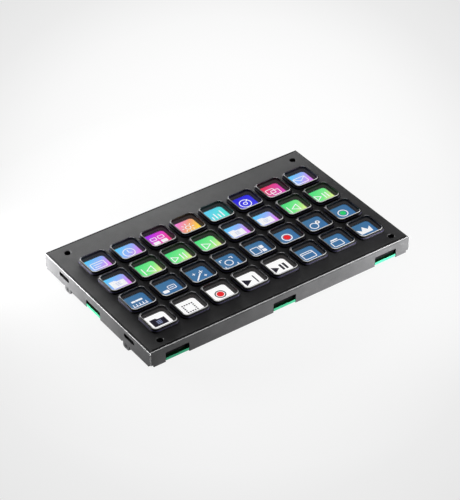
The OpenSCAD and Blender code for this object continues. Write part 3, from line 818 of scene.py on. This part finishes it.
def make_cap(name):
    """One key: a black-sided frame with a bevelled rim, round a clear face; painted highlights on
    rim and side, a painted glow in the well.
    """
    centre, half, bottom, top = key_place(name)
    corner = half - CORNER_R
    foot_top = bottom + FOOT_T * MM
    band_low, band_high = plate_top + BAND_LOW * MM, plate_top + BAND_HIGH * MM
    rim_out = CORNER_R - DRAFT
    face = rim_out - RIM_W
    face_z = top - DISH * MM
    glint_out = rim_out - GLINT_INSET
    glint_in = glint_out - GLINT_W
    line_out = glint_in - EASE
    shoulder = top - GLINT_H * MM
    flare_top, flare_end = bottom + FLARE_HIGH * MM, bottom + FLARE_LOW * MM
    # Looks: black, painted highlight band, wall with painted glow, bevel with painted glowing
    # highlight, matte, painted highlight line, shoulder.
    black, band_highlight, wall, lit, matte, line, slope = range(7)
    # Round the section: radius of the corners, height, and the look of the face that follows
    profile = [
        (CORNER_R + FOOT_LIP, bottom, black), (CORNER_R + FOOT_LIP, foot_top, black),
        (CORNER_R, foot_top, matte), (CORNER_R, band_low, band_highlight),
        (CORNER_R - EASE, band_high, black), (rim_out + EASE, band_high + EASE * MM, matte),
        (rim_out, shoulder - SLOPE_LOW * MM, matte),
        (rim_out - SLOPE_IN, shoulder - SLOPE_HIGH * MM, slope),
        (glint_out, shoulder, lit), (glint_in, top - HAIR * MM, matte),
        (line_out, top, line), (line_out - LINE_W, top, black),
        (face, face_z, matte), (face, face_z - DARK_DEPTH * MM, wall), (face, flare_top, matte),
        (face + FLARE_OUT, flare_end, matte), (face + FLARE_OUT, bottom, matte),
    ]
    bm = bmesh.new()
    loops = [add_loop(bm, square_loop(corner, r), z - bottom) for r, z, _ in profile]
    for i, (_, _, material) in enumerate(profile):
        bridge(bm, loops[i], loops[(i + 1) % len(loops)], material)
    at = (centre.x, centre.y, bottom)
    looks = ["key_black", "key_band_highlight", "key_wall_glow", "key_painted_glint", "key_matte", "key_highlight_line",
             "key_shoulder"]
    finish_piece(bm, name + "_cap", looks, name, at, replaces=[name])

    bm = bmesh.new()
    z1 = face_z - bottom
    prism(bm, square_loop(corner, face + FACE_GRIP), z1 - PANE_T * MM, z1 - HAIR * MM, 0)
    finish_piece(bm, name + "_face", ["key_clear"], name, at)


def make_lens(row, col):
    """The clear lens at the floor of one key's well, with the lit picture that it shows."""
    name = f"key_r{row}c{col}"
    ground, sign = PICTURES[row - 1][col - 1]
    ink = "black" if ground == "paper" else "white"
    centre, half, bottom, _ = key_place(name)
    corner = half - CORNER_R
    radius = PICTURE_HALF - corner
    z1 = LENS_T * MM
    bm = bmesh.new()
    outline = square_loop(corner, radius + MASK_W)
    low, high = add_loop(bm, outline, 0), add_loop(bm, outline, z1)
    inner = add_loop(bm, square_loop(corner, radius), z1)
    bridge(bm, low, high, 0)
    bridge(bm, high, inner, 0)
    cap(bm, low[::-1], 0)
    cap(bm, inner, 1)
    sign(Ink(bm, z1, 2, second=Ink(bm, z1 + SECOND_LIFT * MM, 3)))
    looks = ["key_matte", "picture_" + ground, "sign_" + ink, "sign_" + SECOND_INK.get(sign, ink)]
    finish_piece(bm, name + "_lens", looks, name,
                 (centre.x, centre.y, bottom - LENS_SKIRT * MM), smooth=False)


# The section of a springing wall: its offset from the key's side and its share of the height.
SPRING = [(0.30, 0.0), (0.27, 0.14), (0.05, 0.76), (0.10, 0.84), (0.08, 1.0),
          (-0.26, 1.0), (-0.28, 0.84), (-0.17, 0.76), (0.04, 0.14), (0.0, 0.0)]


def make_spring(name):
    """The silicone wall under one key, with a mesh of its own; the real wall folds flat as the key
    goes down.
    """
    centre, half, _, _ = key_place(name)
    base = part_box("key_membrane")[0].z + MEMBRANE_T * MM
    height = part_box("key_membrane")[1].z - base
    corner = half - CORNER_R
    bm = bmesh.new()
    loops = [add_loop(bm, square_loop(corner, CORNER_R + out), share * height)
             for out, share in SPRING]
    for i, loop in enumerate(loops):
        bridge(bm, loop, loops[(i + 1) % len(loops)], 0)
    at = (centre.x, centre.y, base)
    spring = finish_piece(bm, name + "_spring", ["silicone"], at=at)
    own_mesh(spring)


def make_membrane():
    """The membrane's sheet: one cell for each key, with the key's window in it."""
    low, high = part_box("key_membrane")
    bm = bmesh.new()
    for row in range(1, ROWS + 1):
        for col in range(1, COLS + 1):
            centre, half, _, _ = key_place(f"key_r{row}c{col}")
            corner = half - CORNER_R
            west, east = (low.x if col == 1 else centre.x - PITCH / 2 * MM,
                          high.x if col == COLS else centre.x + PITCH / 2 * MM)
            south, north = (low.y if row == ROWS else centre.y - PITCH / 2 * MM,
                            high.y if row == 1 else centre.y + PITCH / 2 * MM)
            window = [(centre.x + x * MM, centre.y + y * MM)
                      for x, y in square_loop(corner, WINDOW_HALF - corner)]
            rim = []
            for x, y in square_loop(0, 1):
                grow = 1 / max(abs(x), abs(y))
                across, along = (x * grow + 1) / 2, (y * grow + 1) / 2
                rim.append((west + (east - west) * across, south + (north - south) * along))
            inner, outer = ([bm.verts.new((x, y, low.z)) for x, y in loop]
                            for loop in (window, rim))
            bridge(bm, inner, outer, 0)
    bmesh.ops.remove_doubles(bm, verts=bm.verts[:], dist=0.001 * MM)
    raised = bmesh.ops.extrude_face_region(bm, geom=bm.faces[:])
    bmesh.ops.translate(bm, vec=(0, 0, MEMBRANE_T * MM),
                        verts=[v for v in raised["geom"] if isinstance(v, bmesh.types.BMVert)])
    finish_piece(bm, "key_membrane_sheet", ["silicone"], replaces=["key_membrane"])


for row in range(1, ROWS + 1):
    for col in range(1, COLS + 1):
        make_cap(f"key_r{row}c{col}")
        make_lens(row, col)
        make_spring(f"key_r{row}c{col}")
make_membrane()


# ---------------- circuit parts
board_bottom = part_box("main_board")[0].z
TIN_T = 0.03          # how far tinned ends stand proud
PRINT_T = 0.02        # thickness of printed lines and tracks
PRINT_W = 0.18
TRACK_W = 0.26
VIA_PITCH = 9.2
TEST_AT, TEST_PADS = (-9, -22), 8
CHIP_DRAFT = 0.12
PIN_T, PIN_ROOT, PIN_BEND = 0.13, 0.15, 0.1   # a pin's thickness, its root in the chip, its bend


def box_mm(name):
    """Lowest and highest corners of a CAD node, in mm."""
    return [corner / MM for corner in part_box(name)]


def solids(name):
    """Lowest and highest corners, in mm, of each separate solid of a CAD node."""
    bm = bmesh.new()
    bm.from_mesh(nodes[name].data)
    bmesh.ops.remove_doubles(bm, verts=bm.verts[:], dist=0.001 * MM)
    boxes, seen = [], set()
    for first in bm.verts:
        group, waiting = [], [first]
        while waiting:
            vert = waiting.pop()
            if vert in seen:
                continue
            seen.add(vert)
            group.append(vert.co / MM)
            waiting += [edge.other_vert(vert) for edge in vert.link_edges]
        if group:
            boxes.append(tuple(Vector(pick(c) for c in zip(*group)) for pick in (min, max)))
    bm.free()
    return sorted(boxes, key=lambda box: (round(box[0].y, 2), round(box[0].x, 2)))


def under(depth):
    """Height of a place this many mm below the board."""
    return board_bottom - depth * MM


def outline(low, high, grow=0.0, r=0.15):
    """A box's rounded outline, seen from above, in mm."""
    size = high - low
    return rect(*((low + high) / 2).xy, size.x + 2 * grow, size.y + 2 * grow, r)


def pin(bm, x, y, turn, depth, width, reach, material):
    """A bent pin: out of a chip's side, down to the board, and along it to its end."""
    knee, heel = 0.3 * reach, 0.45 * reach
    upper, lower = (depth - PIN_T) / 2, (depth + PIN_T) / 2
    profile = [(-PIN_ROOT, upper), (knee, upper), (heel, 0), (reach, 0), (reach, PIN_T),
               (heel + PIN_BEND, PIN_T), (knee + PIN_BEND, lower), (-PIN_ROOT, lower)]
    cos, sin = math.cos(turn), math.sin(turn)
    sides = []
    for v in (-width / 2, width / 2):
        sides.append([bm.verts.new(((x + u * cos - v * sin) * MM, (y + u * sin + v * cos) * MM,
                                    under(w))) for u, w in profile])
    loft(bm, sides, material)


def pin_row(bm, low, high, turn, pitch, width, reach, material):
    """Pins along one side of a chip; turn is the way that they point."""
    middle, half = (low + high) / 2, (high - low) / 2
    out = Vector((math.cos(turn), math.sin(turn), 0))
    along = Vector((-out.y, out.x, 0))
    length = 2 * abs(half.dot(Vector(map(abs, along)))) - 1.2
    count = int(length / pitch) + 1
    edge = middle + out * abs(half.dot(Vector(map(abs, out))))
    for i in range(count):
        at = edge + along * (i - (count - 1) / 2) * pitch
        pin(bm, at.x, at.y, turn, high.z - low.z, width, reach, material)


def dress(node, shape, looks, ending="_bodies"):
    """Detailed bodies in place of a CAD node's plain blocks."""
    bm = bmesh.new()
    for low, high in solids(node):
        shape(bm, low, high, high.z - low.z)
    finish_piece(bm, node + ending, looks, replaces=[node])


def tapered(bm, low, high, r, section):
    """A block with rounded sides, as wide at each depth as its section says."""
    loft(bm, [add_loop(bm, outline(low, high, grow, r), under(z)) for z, grow in section], 0)


def chip(sides, pitch, width, reach):
    """A moulded chip with bent pins on some sides, and a ring at its first pin."""
    def shape(bm, low, high, depth):
        tapered(bm, low, high, 0.15, [(HAIR, -CHIP_DRAFT), (depth / 2, 0),
                                      (depth - 0.08, 0.05 - CHIP_DRAFT), (depth, -CHIP_DRAFT)])
        for turn in sides:
            pin_row(bm, low, high, math.radians(turn), pitch, width, reach, 1)
        ring, dimple = (disc(low.x + 1.0, low.y + 1.0, r, 16) for r in (0.42, 0.3))
        band(bm, ring, dimple, under(depth), under(depth + 0.015), 2)
    return shape


def capacitor(bm, low, high, depth):
    """A ceramic body with a rounded tinned cap on each end."""
    end = (high.x - low.x) * 0.22
    prism(bm, outline(low, high, -0.02, 0.1), under(depth - 0.02), under(0), 0)
    for x in (low.x - TIN_T, high.x + TIN_T - end):
        near, far = Vector((x, low.y - TIN_T, 0)), Vector((x + end, high.y + TIN_T, 0))
        prism(bm, outline(near, far, 0, 0.12), under(depth + TIN_T), under(0), 1)


def inductor(bm, low, high, depth):
    """A pressed ferrite block with cut corners, a round mark and a strap at each end."""
    tapered(bm, low, high, 0.7, [(0.05, -0.1), (0.3, 0), (depth - 0.25, 0), (depth, -0.25)])
    middle = (low + high) / 2
    band(bm, disc(middle.x, middle.y, 1.5), disc(middle.x, middle.y, 1.2),
         under(depth + 0.02), under(depth - 0.1), 2)
    for x in (low.x - 0.1, high.x - 0.25):
        prism(bm, rect(x + 0.175, middle.y, 0.35, 2.6, 0.1), under(depth * 0.6), under(0), 1)


def crystal(bm, low, high, depth):
    """A plated can with a rolled rim."""
    prism(bm, outline(low, high, 0, 0.3), under(0.3), under(0), 1)
    tapered(bm, low, high, 0.5, [(0.3, -0.08), (depth - 0.15, -0.2), (depth, -0.32)])


chip_looks = ["chip_body", "plated_steel", "white_ink"]
dress("controller_chip", chip((0, 90, 180, 270), 0.5, 0.22, 1.0), chip_looks)
dress("memory_chips", chip((0, 180), 0.65, 0.28, 0.9), chip_looks)
dress("regulator_chips", chip((90, 270), 0.95, 0.4, 0.7), chip_looks)
dress("chip_capacitors", capacitor, ["ceramic", "plated_steel"])
dress("power_inductors", inductor, ["ferrite", "plated_steel", "chip_body"])
dress("crystal", crystal, ["plated_steel", "ceramic"], "_can")


def make_connector_trim(node):
    """A ribbon connector's dark locking bar, and the row of contacts behind it."""
    low, high = box_mm(node)
    middle, depth = (low + high) / 2, high.z - low.z
    bm = bmesh.new()
    prism(bm, rect(middle.x, high.y - 0.7, high.x - low.x - 1.2, 1.2, 0.3),
          under(depth + 0.18), under(depth - 0.1), 0)
    for x in (low.x + 0.35, high.x - 0.35):
        prism(bm, rect(x, high.y - 1.0, 0.5, 1.9, 0.2), under(depth + 0.1), under(depth - 0.1), 0)
    count = int((high.x - low.x - 2.4) / 0.8)
    for i in range(count):
        x = middle.x + (i - (count - 1) / 2) * 0.8
        pin(bm, x, low.y, math.radians(270), 0.5, 0.3, 0.7, 1)
        prism(bm, rect(x, low.y + 0.9, 0.3, 1.1, 0.08), under(depth + 0.02), under(depth - 0.1), 1)
    finish_piece(bm, node + "_trim", ["chip_body", "plated_steel"])


make_connector_trim("lcd_connector")
make_connector_trim("switch_connector")


def strip_outline(points, width):
    """Outline of a line of some width along a path, mitred at its bends."""
    left, right = [], []
    for i, here in enumerate(points):
        before, after = points[max(i - 1, 0)], points[min(i + 1, len(points) - 1)]
        ways = [(b - a).normalized() for a, b in ((before, here), (here, after)) if (b - a).length]
        side = sum((Vector((-way.y, way.x)) for way in ways), Vector((0, 0))).normalized()
        stretch = width / 2 / max(0.5, abs(side.dot(Vector((-ways[0].y, ways[0].x)))))
        left.append(here + side * stretch)
        right.append(here - side * stretch)
    return left + right[::-1]


def track(bm, start, end, along):
    """A printed track: out along one axis, across at 45 degrees, then on along it."""
    start, end, way = Vector(start), Vector(end), Vector(along)
    rise = (end - start).dot(way)
    across = (end - start) - way * rise
    lead = way * math.copysign(max(abs(rise) - across.length, 0) / 2, rise)
    bends = [start, start + lead, end - lead, end]
    points = [p for i, p in enumerate(bends) if i == 0 or (p - bends[i - 1]).length > 0.01]
    prism(bm, strip_outline(points, TRACK_W), under(PRINT_T), under(0), 0)
    for point in (start, end):
        band(bm, disc(*point, 0.3, 12), disc(*point, 0.14, 12), under(2 * PRINT_T), under(0), 1)


# Each bundle: first track's start and end, then how the next ones step, and the way they run
BUNDLES = [
    ((-9.6, 5.0), (-1.4, 9.6), (0, 0.5), (0, 0.65), 10, (1, 0)),
    ((-9.6, 3.0), (-1.4, -1.6), (0, -0.5), (0, -0.65), 9, (1, 0)),
    ((-24.0, 12.4), (-46.0, 36.4), (0.5, 0), (0.8, 0), 12, (0, 1)),
    ((-15.0, 12.4), (-1.2, 40.5), (0.5, 0), (0.8, 0), 4, (0, 1)),
    ((13.6, -7.4), (22.0, 2.0), (0, 0.65), (0, 0.65), 9, (1, 0)),
    ((31.0, 36.4), (24.0, 6.0), (0.8, 0), (0.5, 0), 12, (0, 1)),
    ((-26.4, 2.0), (-48.0, -8.0), (0, 0.5), (0, 0.8), 8, (1, 0)),
    ((-22.0, -4.4), (-14.0, -40.0), (0.5, 0), (0.9, 0), 9, (0, 1)),
    ((40.0, 5.0), (52.0, -34.0), (1.0, 0), (1.2, 0), 5, (0, 1)),
]


def make_tracks():
    """Bundles of tracks under the solder mask, with a plated hole at each end."""
    bm = bmesh.new()
    for start, end, step_start, step_end, count, along in BUNDLES:
        for i in range(count):
            track(bm, Vector(start) + Vector(step_start) * i,
                  Vector(end) + Vector(step_end) * i, along)
    finish_piece(bm, "main_board_tracks", ["board_track", "plated_steel"], smooth=False)


UNDER_PARTS = ["controller_chip", "memory_chips", "regulator_chips", "power_inductors", "crystal",
               "chip_capacitors", "lcd_connector", "switch_connector", "usb_receptacle",
               "board_blocks"]


def make_print():
    """White printed outlines round the parts, plated holes in the free places, and test pads."""
    bm = bmesh.new()
    taken = [box for part in UNDER_PARTS for box in solids(part)]
    for part, space in (("controller_chip", 1.5), ("memory_chips", 0.4), ("regulator_chips", 0.35),
                        ("power_inductors", 0.5), ("crystal", 0.35), ("lcd_connector", 0.6),
                        ("switch_connector", 0.6)):
        for low, high in solids(part):
            band(bm, outline(low, high, space + PRINT_W), outline(low, high, space),
                 under(PRINT_T), under(0), 0)
    board_low, board_high = box_mm("main_board")
    x = board_low.x + 6
    while x < board_high.x - 5:
        y = board_low.y + 6 + 2 * math.sin(x)
        while y < board_high.y - 5:
            if all(abs(x - (a.x + b.x) / 2) > (b.x - a.x) / 2 + 2
                   or abs(y - (a.y + b.y) / 2) > (b.y - a.y) / 2 + 2 for a, b in taken):
                band(bm, disc(x, y, 0.4, 14), disc(x, y, 0.2, 14), under(2 * PRINT_T), under(0), 1)
            y += VIA_PITCH
        x += VIA_PITCH
    for i in range(TEST_PADS):
        at = (TEST_AT[0] + 2.54 * i, TEST_AT[1])
        prism(bm, disc(*at, 0.7, 20), under(2 * PRINT_T), under(0), 1)
        band(bm, disc(*at, 1.05, 20), disc(*at, 0.9, 20), under(PRINT_T), under(0), 0)
    finish_piece(bm, "main_board_print", ["white_ink", "plated_steel"], smooth=False)


def make_socket_trim():
    """The socket's contacts, its folded legs, and the two spring slots in its shell."""
    low, high = box_mm("usb_receptacle")
    middle, depth = (low + high) / 2, high.z - low.z
    bm = bmesh.new()
    for i in range(12):
        x = middle.x + (i - 5.5) * 0.5
        for face in (-0.37, 0.33):
            prism(bm, rect(x, high.y - 2.4, 0.25, 3.6, 0.05), under(depth / 2 + face + 0.04),
                  under(depth / 2 + face), 0)
    for x in (low.x - 0.3, high.x + 0.3):
        for y in (low.y + 1.1, high.y - 1.9):
            prism(bm, rect(x, y, 0.7, 1.3, 0.15), under(0.35), under(0), 1)
            band(bm, rect(x, y, 1.5, 2.1, 0.5), rect(x, y, 0.8, 1.4, 0.2), under(PRINT_T),
                 under(0), 1)
    for x in (middle.x - 2.2, middle.x + 2.2):
        band(bm, rect(x, middle.y, 1.5, 3.0, 0.3), rect(x, middle.y, 1.1, 2.6, 0.2),
             under(depth + 0.02), under(depth - 0.05), 2)
    looks = ["gold_contact", "plated_steel", "chip_body"]
    finish_piece(bm, "usb_receptacle_trim", looks)


make_tracks()
make_print()
make_socket_trim()


# ---------------- floor, light, camera
# The pool of light that the camera sees on the floor: an ellipse by two directions, in 1/m,
# and the floor's grey by how far out it is.
POOL_ACROSS, POOL_BACK = (5.82, -4.14, 0), (2.64, 3.70, 0)
POOL_SHIFT, POOL_REACH = 0.32, 2.5
POOL_GREYS = [(0.0, 1.0), (0.15, 0.98), (0.3, 0.94), (0.42, 0.89), (0.55, 0.84), (1.0, 0.76)]
FLOOR_R, FLOOR_GREY = 3.0, 0.8
NEAR_SHARE, SHADOW_REACH = 0.9, (90, 160)   # near the object the floor keeps some of its shadow
FRONT_AT, FRONT_SPAN, FRONT_DIM = 160, 200, 0.04  # painted shade: reflections see a darker floor in front
WORLD_GREYS = [(0.0, 0.5), (0.12, 0.4), (0.34, 0.1), (1.0, 0.08)]  # from the horizon up
BACKDROP_GREY = 0.93


def greys(stops):
    return [(at, (grey,) * 3) for at, grey in stops]


def make_floor():
    """A pale floor: white to the camera, as a painted pool of light, and to reflections, but
    painted shade in front; with a soft shadow.
    """
    bm = bmesh.new()
    bmesh.ops.create_circle(bm, cap_ends=True, segments=96, radius=FLOOR_R)
    mesh = mesh_from(bm, "floor")
    m = Nodes("floor_white")
    out = []
    for direction, shift in ((POOL_ACROSS, 0.0), (POOL_BACK, POOL_SHIFT)):
        along = m.measure("DOT_PRODUCT", direction)
        out.append(m.math("POWER", m.math("SUBTRACT", along, shift), 2))
    pool = m.ramp(m.math("DIVIDE", m.math("ADD", *out), POOL_REACH), greys(POOL_GREYS))
    x, y, _ = m.axes()
    # Painted shade: reflections see the floor darker towards the front.
    from_front = m.math("ADD", m.math("ADD", x, y), FRONT_AT * MM)
    mirrored = m.grey_ramp(m.math("DIVIDE", from_front, FRONT_SPAN * MM), FRONT_DIM, 1.0, 0.0, 0.8)
    diffuse = m.add("ShaderNodeBsdfDiffuse")
    diffuse.inputs["Color"].default_value = (FLOOR_GREY,) * 3 + (1,)
    glow = m.add("ShaderNodeEmission")
    rays = m.add("ShaderNodeLightPath").outputs
    m.link(m.mix(rays["Is Camera Ray"], mirrored, pool), glow.inputs["Color"])
    seen = m.math("MAXIMUM", rays["Is Camera Ray"],
                  m.math("MAXIMUM", rays["Is Glossy Ray"], rays["Is Transmission Ray"]))
    clear = m.grey_ramp(m.measure("LENGTH"), NEAR_SHARE, 1.0, *(r * MM for r in SHADOW_REACH))
    m.tree.nodes.remove(m.shader)
    m.mix_shaders(m.math("MULTIPLY", seen, clear), diffuse, glow,
                  m.tree.nodes["Material Output"])
    mesh.materials.append(m.mat)
    floor = add_object("floor", mesh)


def make_world():
    """White to the camera; for the object, bright at the horizon and dim overhead."""
    m = Nodes("studio", "worlds")
    bpy.context.scene.world = m.mat
    m.tree.nodes.clear()
    height = m.axes(m.place("Generated"))[2]
    lit, seen = (m.add("ShaderNodeBackground") for _ in range(2))
    m.link(m.ramp(height, greys(WORLD_GREYS)), lit.inputs["Color"])
    seen.inputs["Color"].default_value = (BACKDROP_GREY,) * 3 + (1,)
    m.mix_shaders(m.add("ShaderNodeLightPath").outputs["Is Camera Ray"], lit, seen,
                  m.add("ShaderNodeOutputWorld"))


def softbox(name, at, target, size, watts):
    """A soft area lamp that looks at a point."""
    lamp = bpy.data.lights.new(name, "AREA")
    lamp.shape = "RECTANGLE"
    lamp.size, lamp.size_y = size
    lamp.energy = watts
    holder = add_object(name, lamp)
    holder.location = at
    holder.visible_camera = False
    holder.rotation_mode = "QUATERNION"
    holder.rotation_quaternion = (Vector(target) - Vector(at)).to_track_quat("-Z", "Y")


# The camera that was fitted to the photograph
CAMERA_AT, CAMERA_LENS = (-0.4787, -0.6742, 0.6397), 138.64
CAMERA_RIGHT, CAMERA_BACK = (0.8146, -0.5800, 0.0), (-0.4611, -0.6476, 0.6066)


def make_camera():
    data = bpy.data.cameras.new("camera")
    data.lens, data.sensor_width = CAMERA_LENS, 36
    camera = add_object("camera", data)
    right, back = Vector(CAMERA_RIGHT).normalized(), Vector(CAMERA_BACK).normalized()
    up = back.cross(right)
    turn = Matrix((right, up, back)).transposed()
    camera.matrix_world = Matrix.Translation(CAMERA_AT) @ turn.to_4x4()
    bpy.context.scene.camera = camera


make_floor()
make_world()
# Lamps: place, the point that each looks at, width and height, watts
for name, *how in (
        ("back_strip", (-0.02, 0.20, 0.06), (0.0, 0.04, 0.01), (0.30, 0.05), 0.455),
        ("back_strip_right", (0.12, 0.19, 0.06), (0.06, 0.04, 0.01), (0.16, 0.05), 0.11),
        ("left_card", (-0.145, 0.10, 0.012), (-0.085, 0.045, 0.006), (0.05, 0.02), 0.8),
        ("front_card", (0.14, -0.16, 0.017), (0.06, -0.05, 0.006), (0.10, 0.03), 0.85),
        ("front_box", (0.21, -0.32, 0.30), (0, -0.05, 0.01), (0.30, 0.16), 0.37)):
    softbox(name, *how)
make_camera()
bpy.context.scene.view_settings.view_transform = "Standard"

bpy.context.view_layer.update()
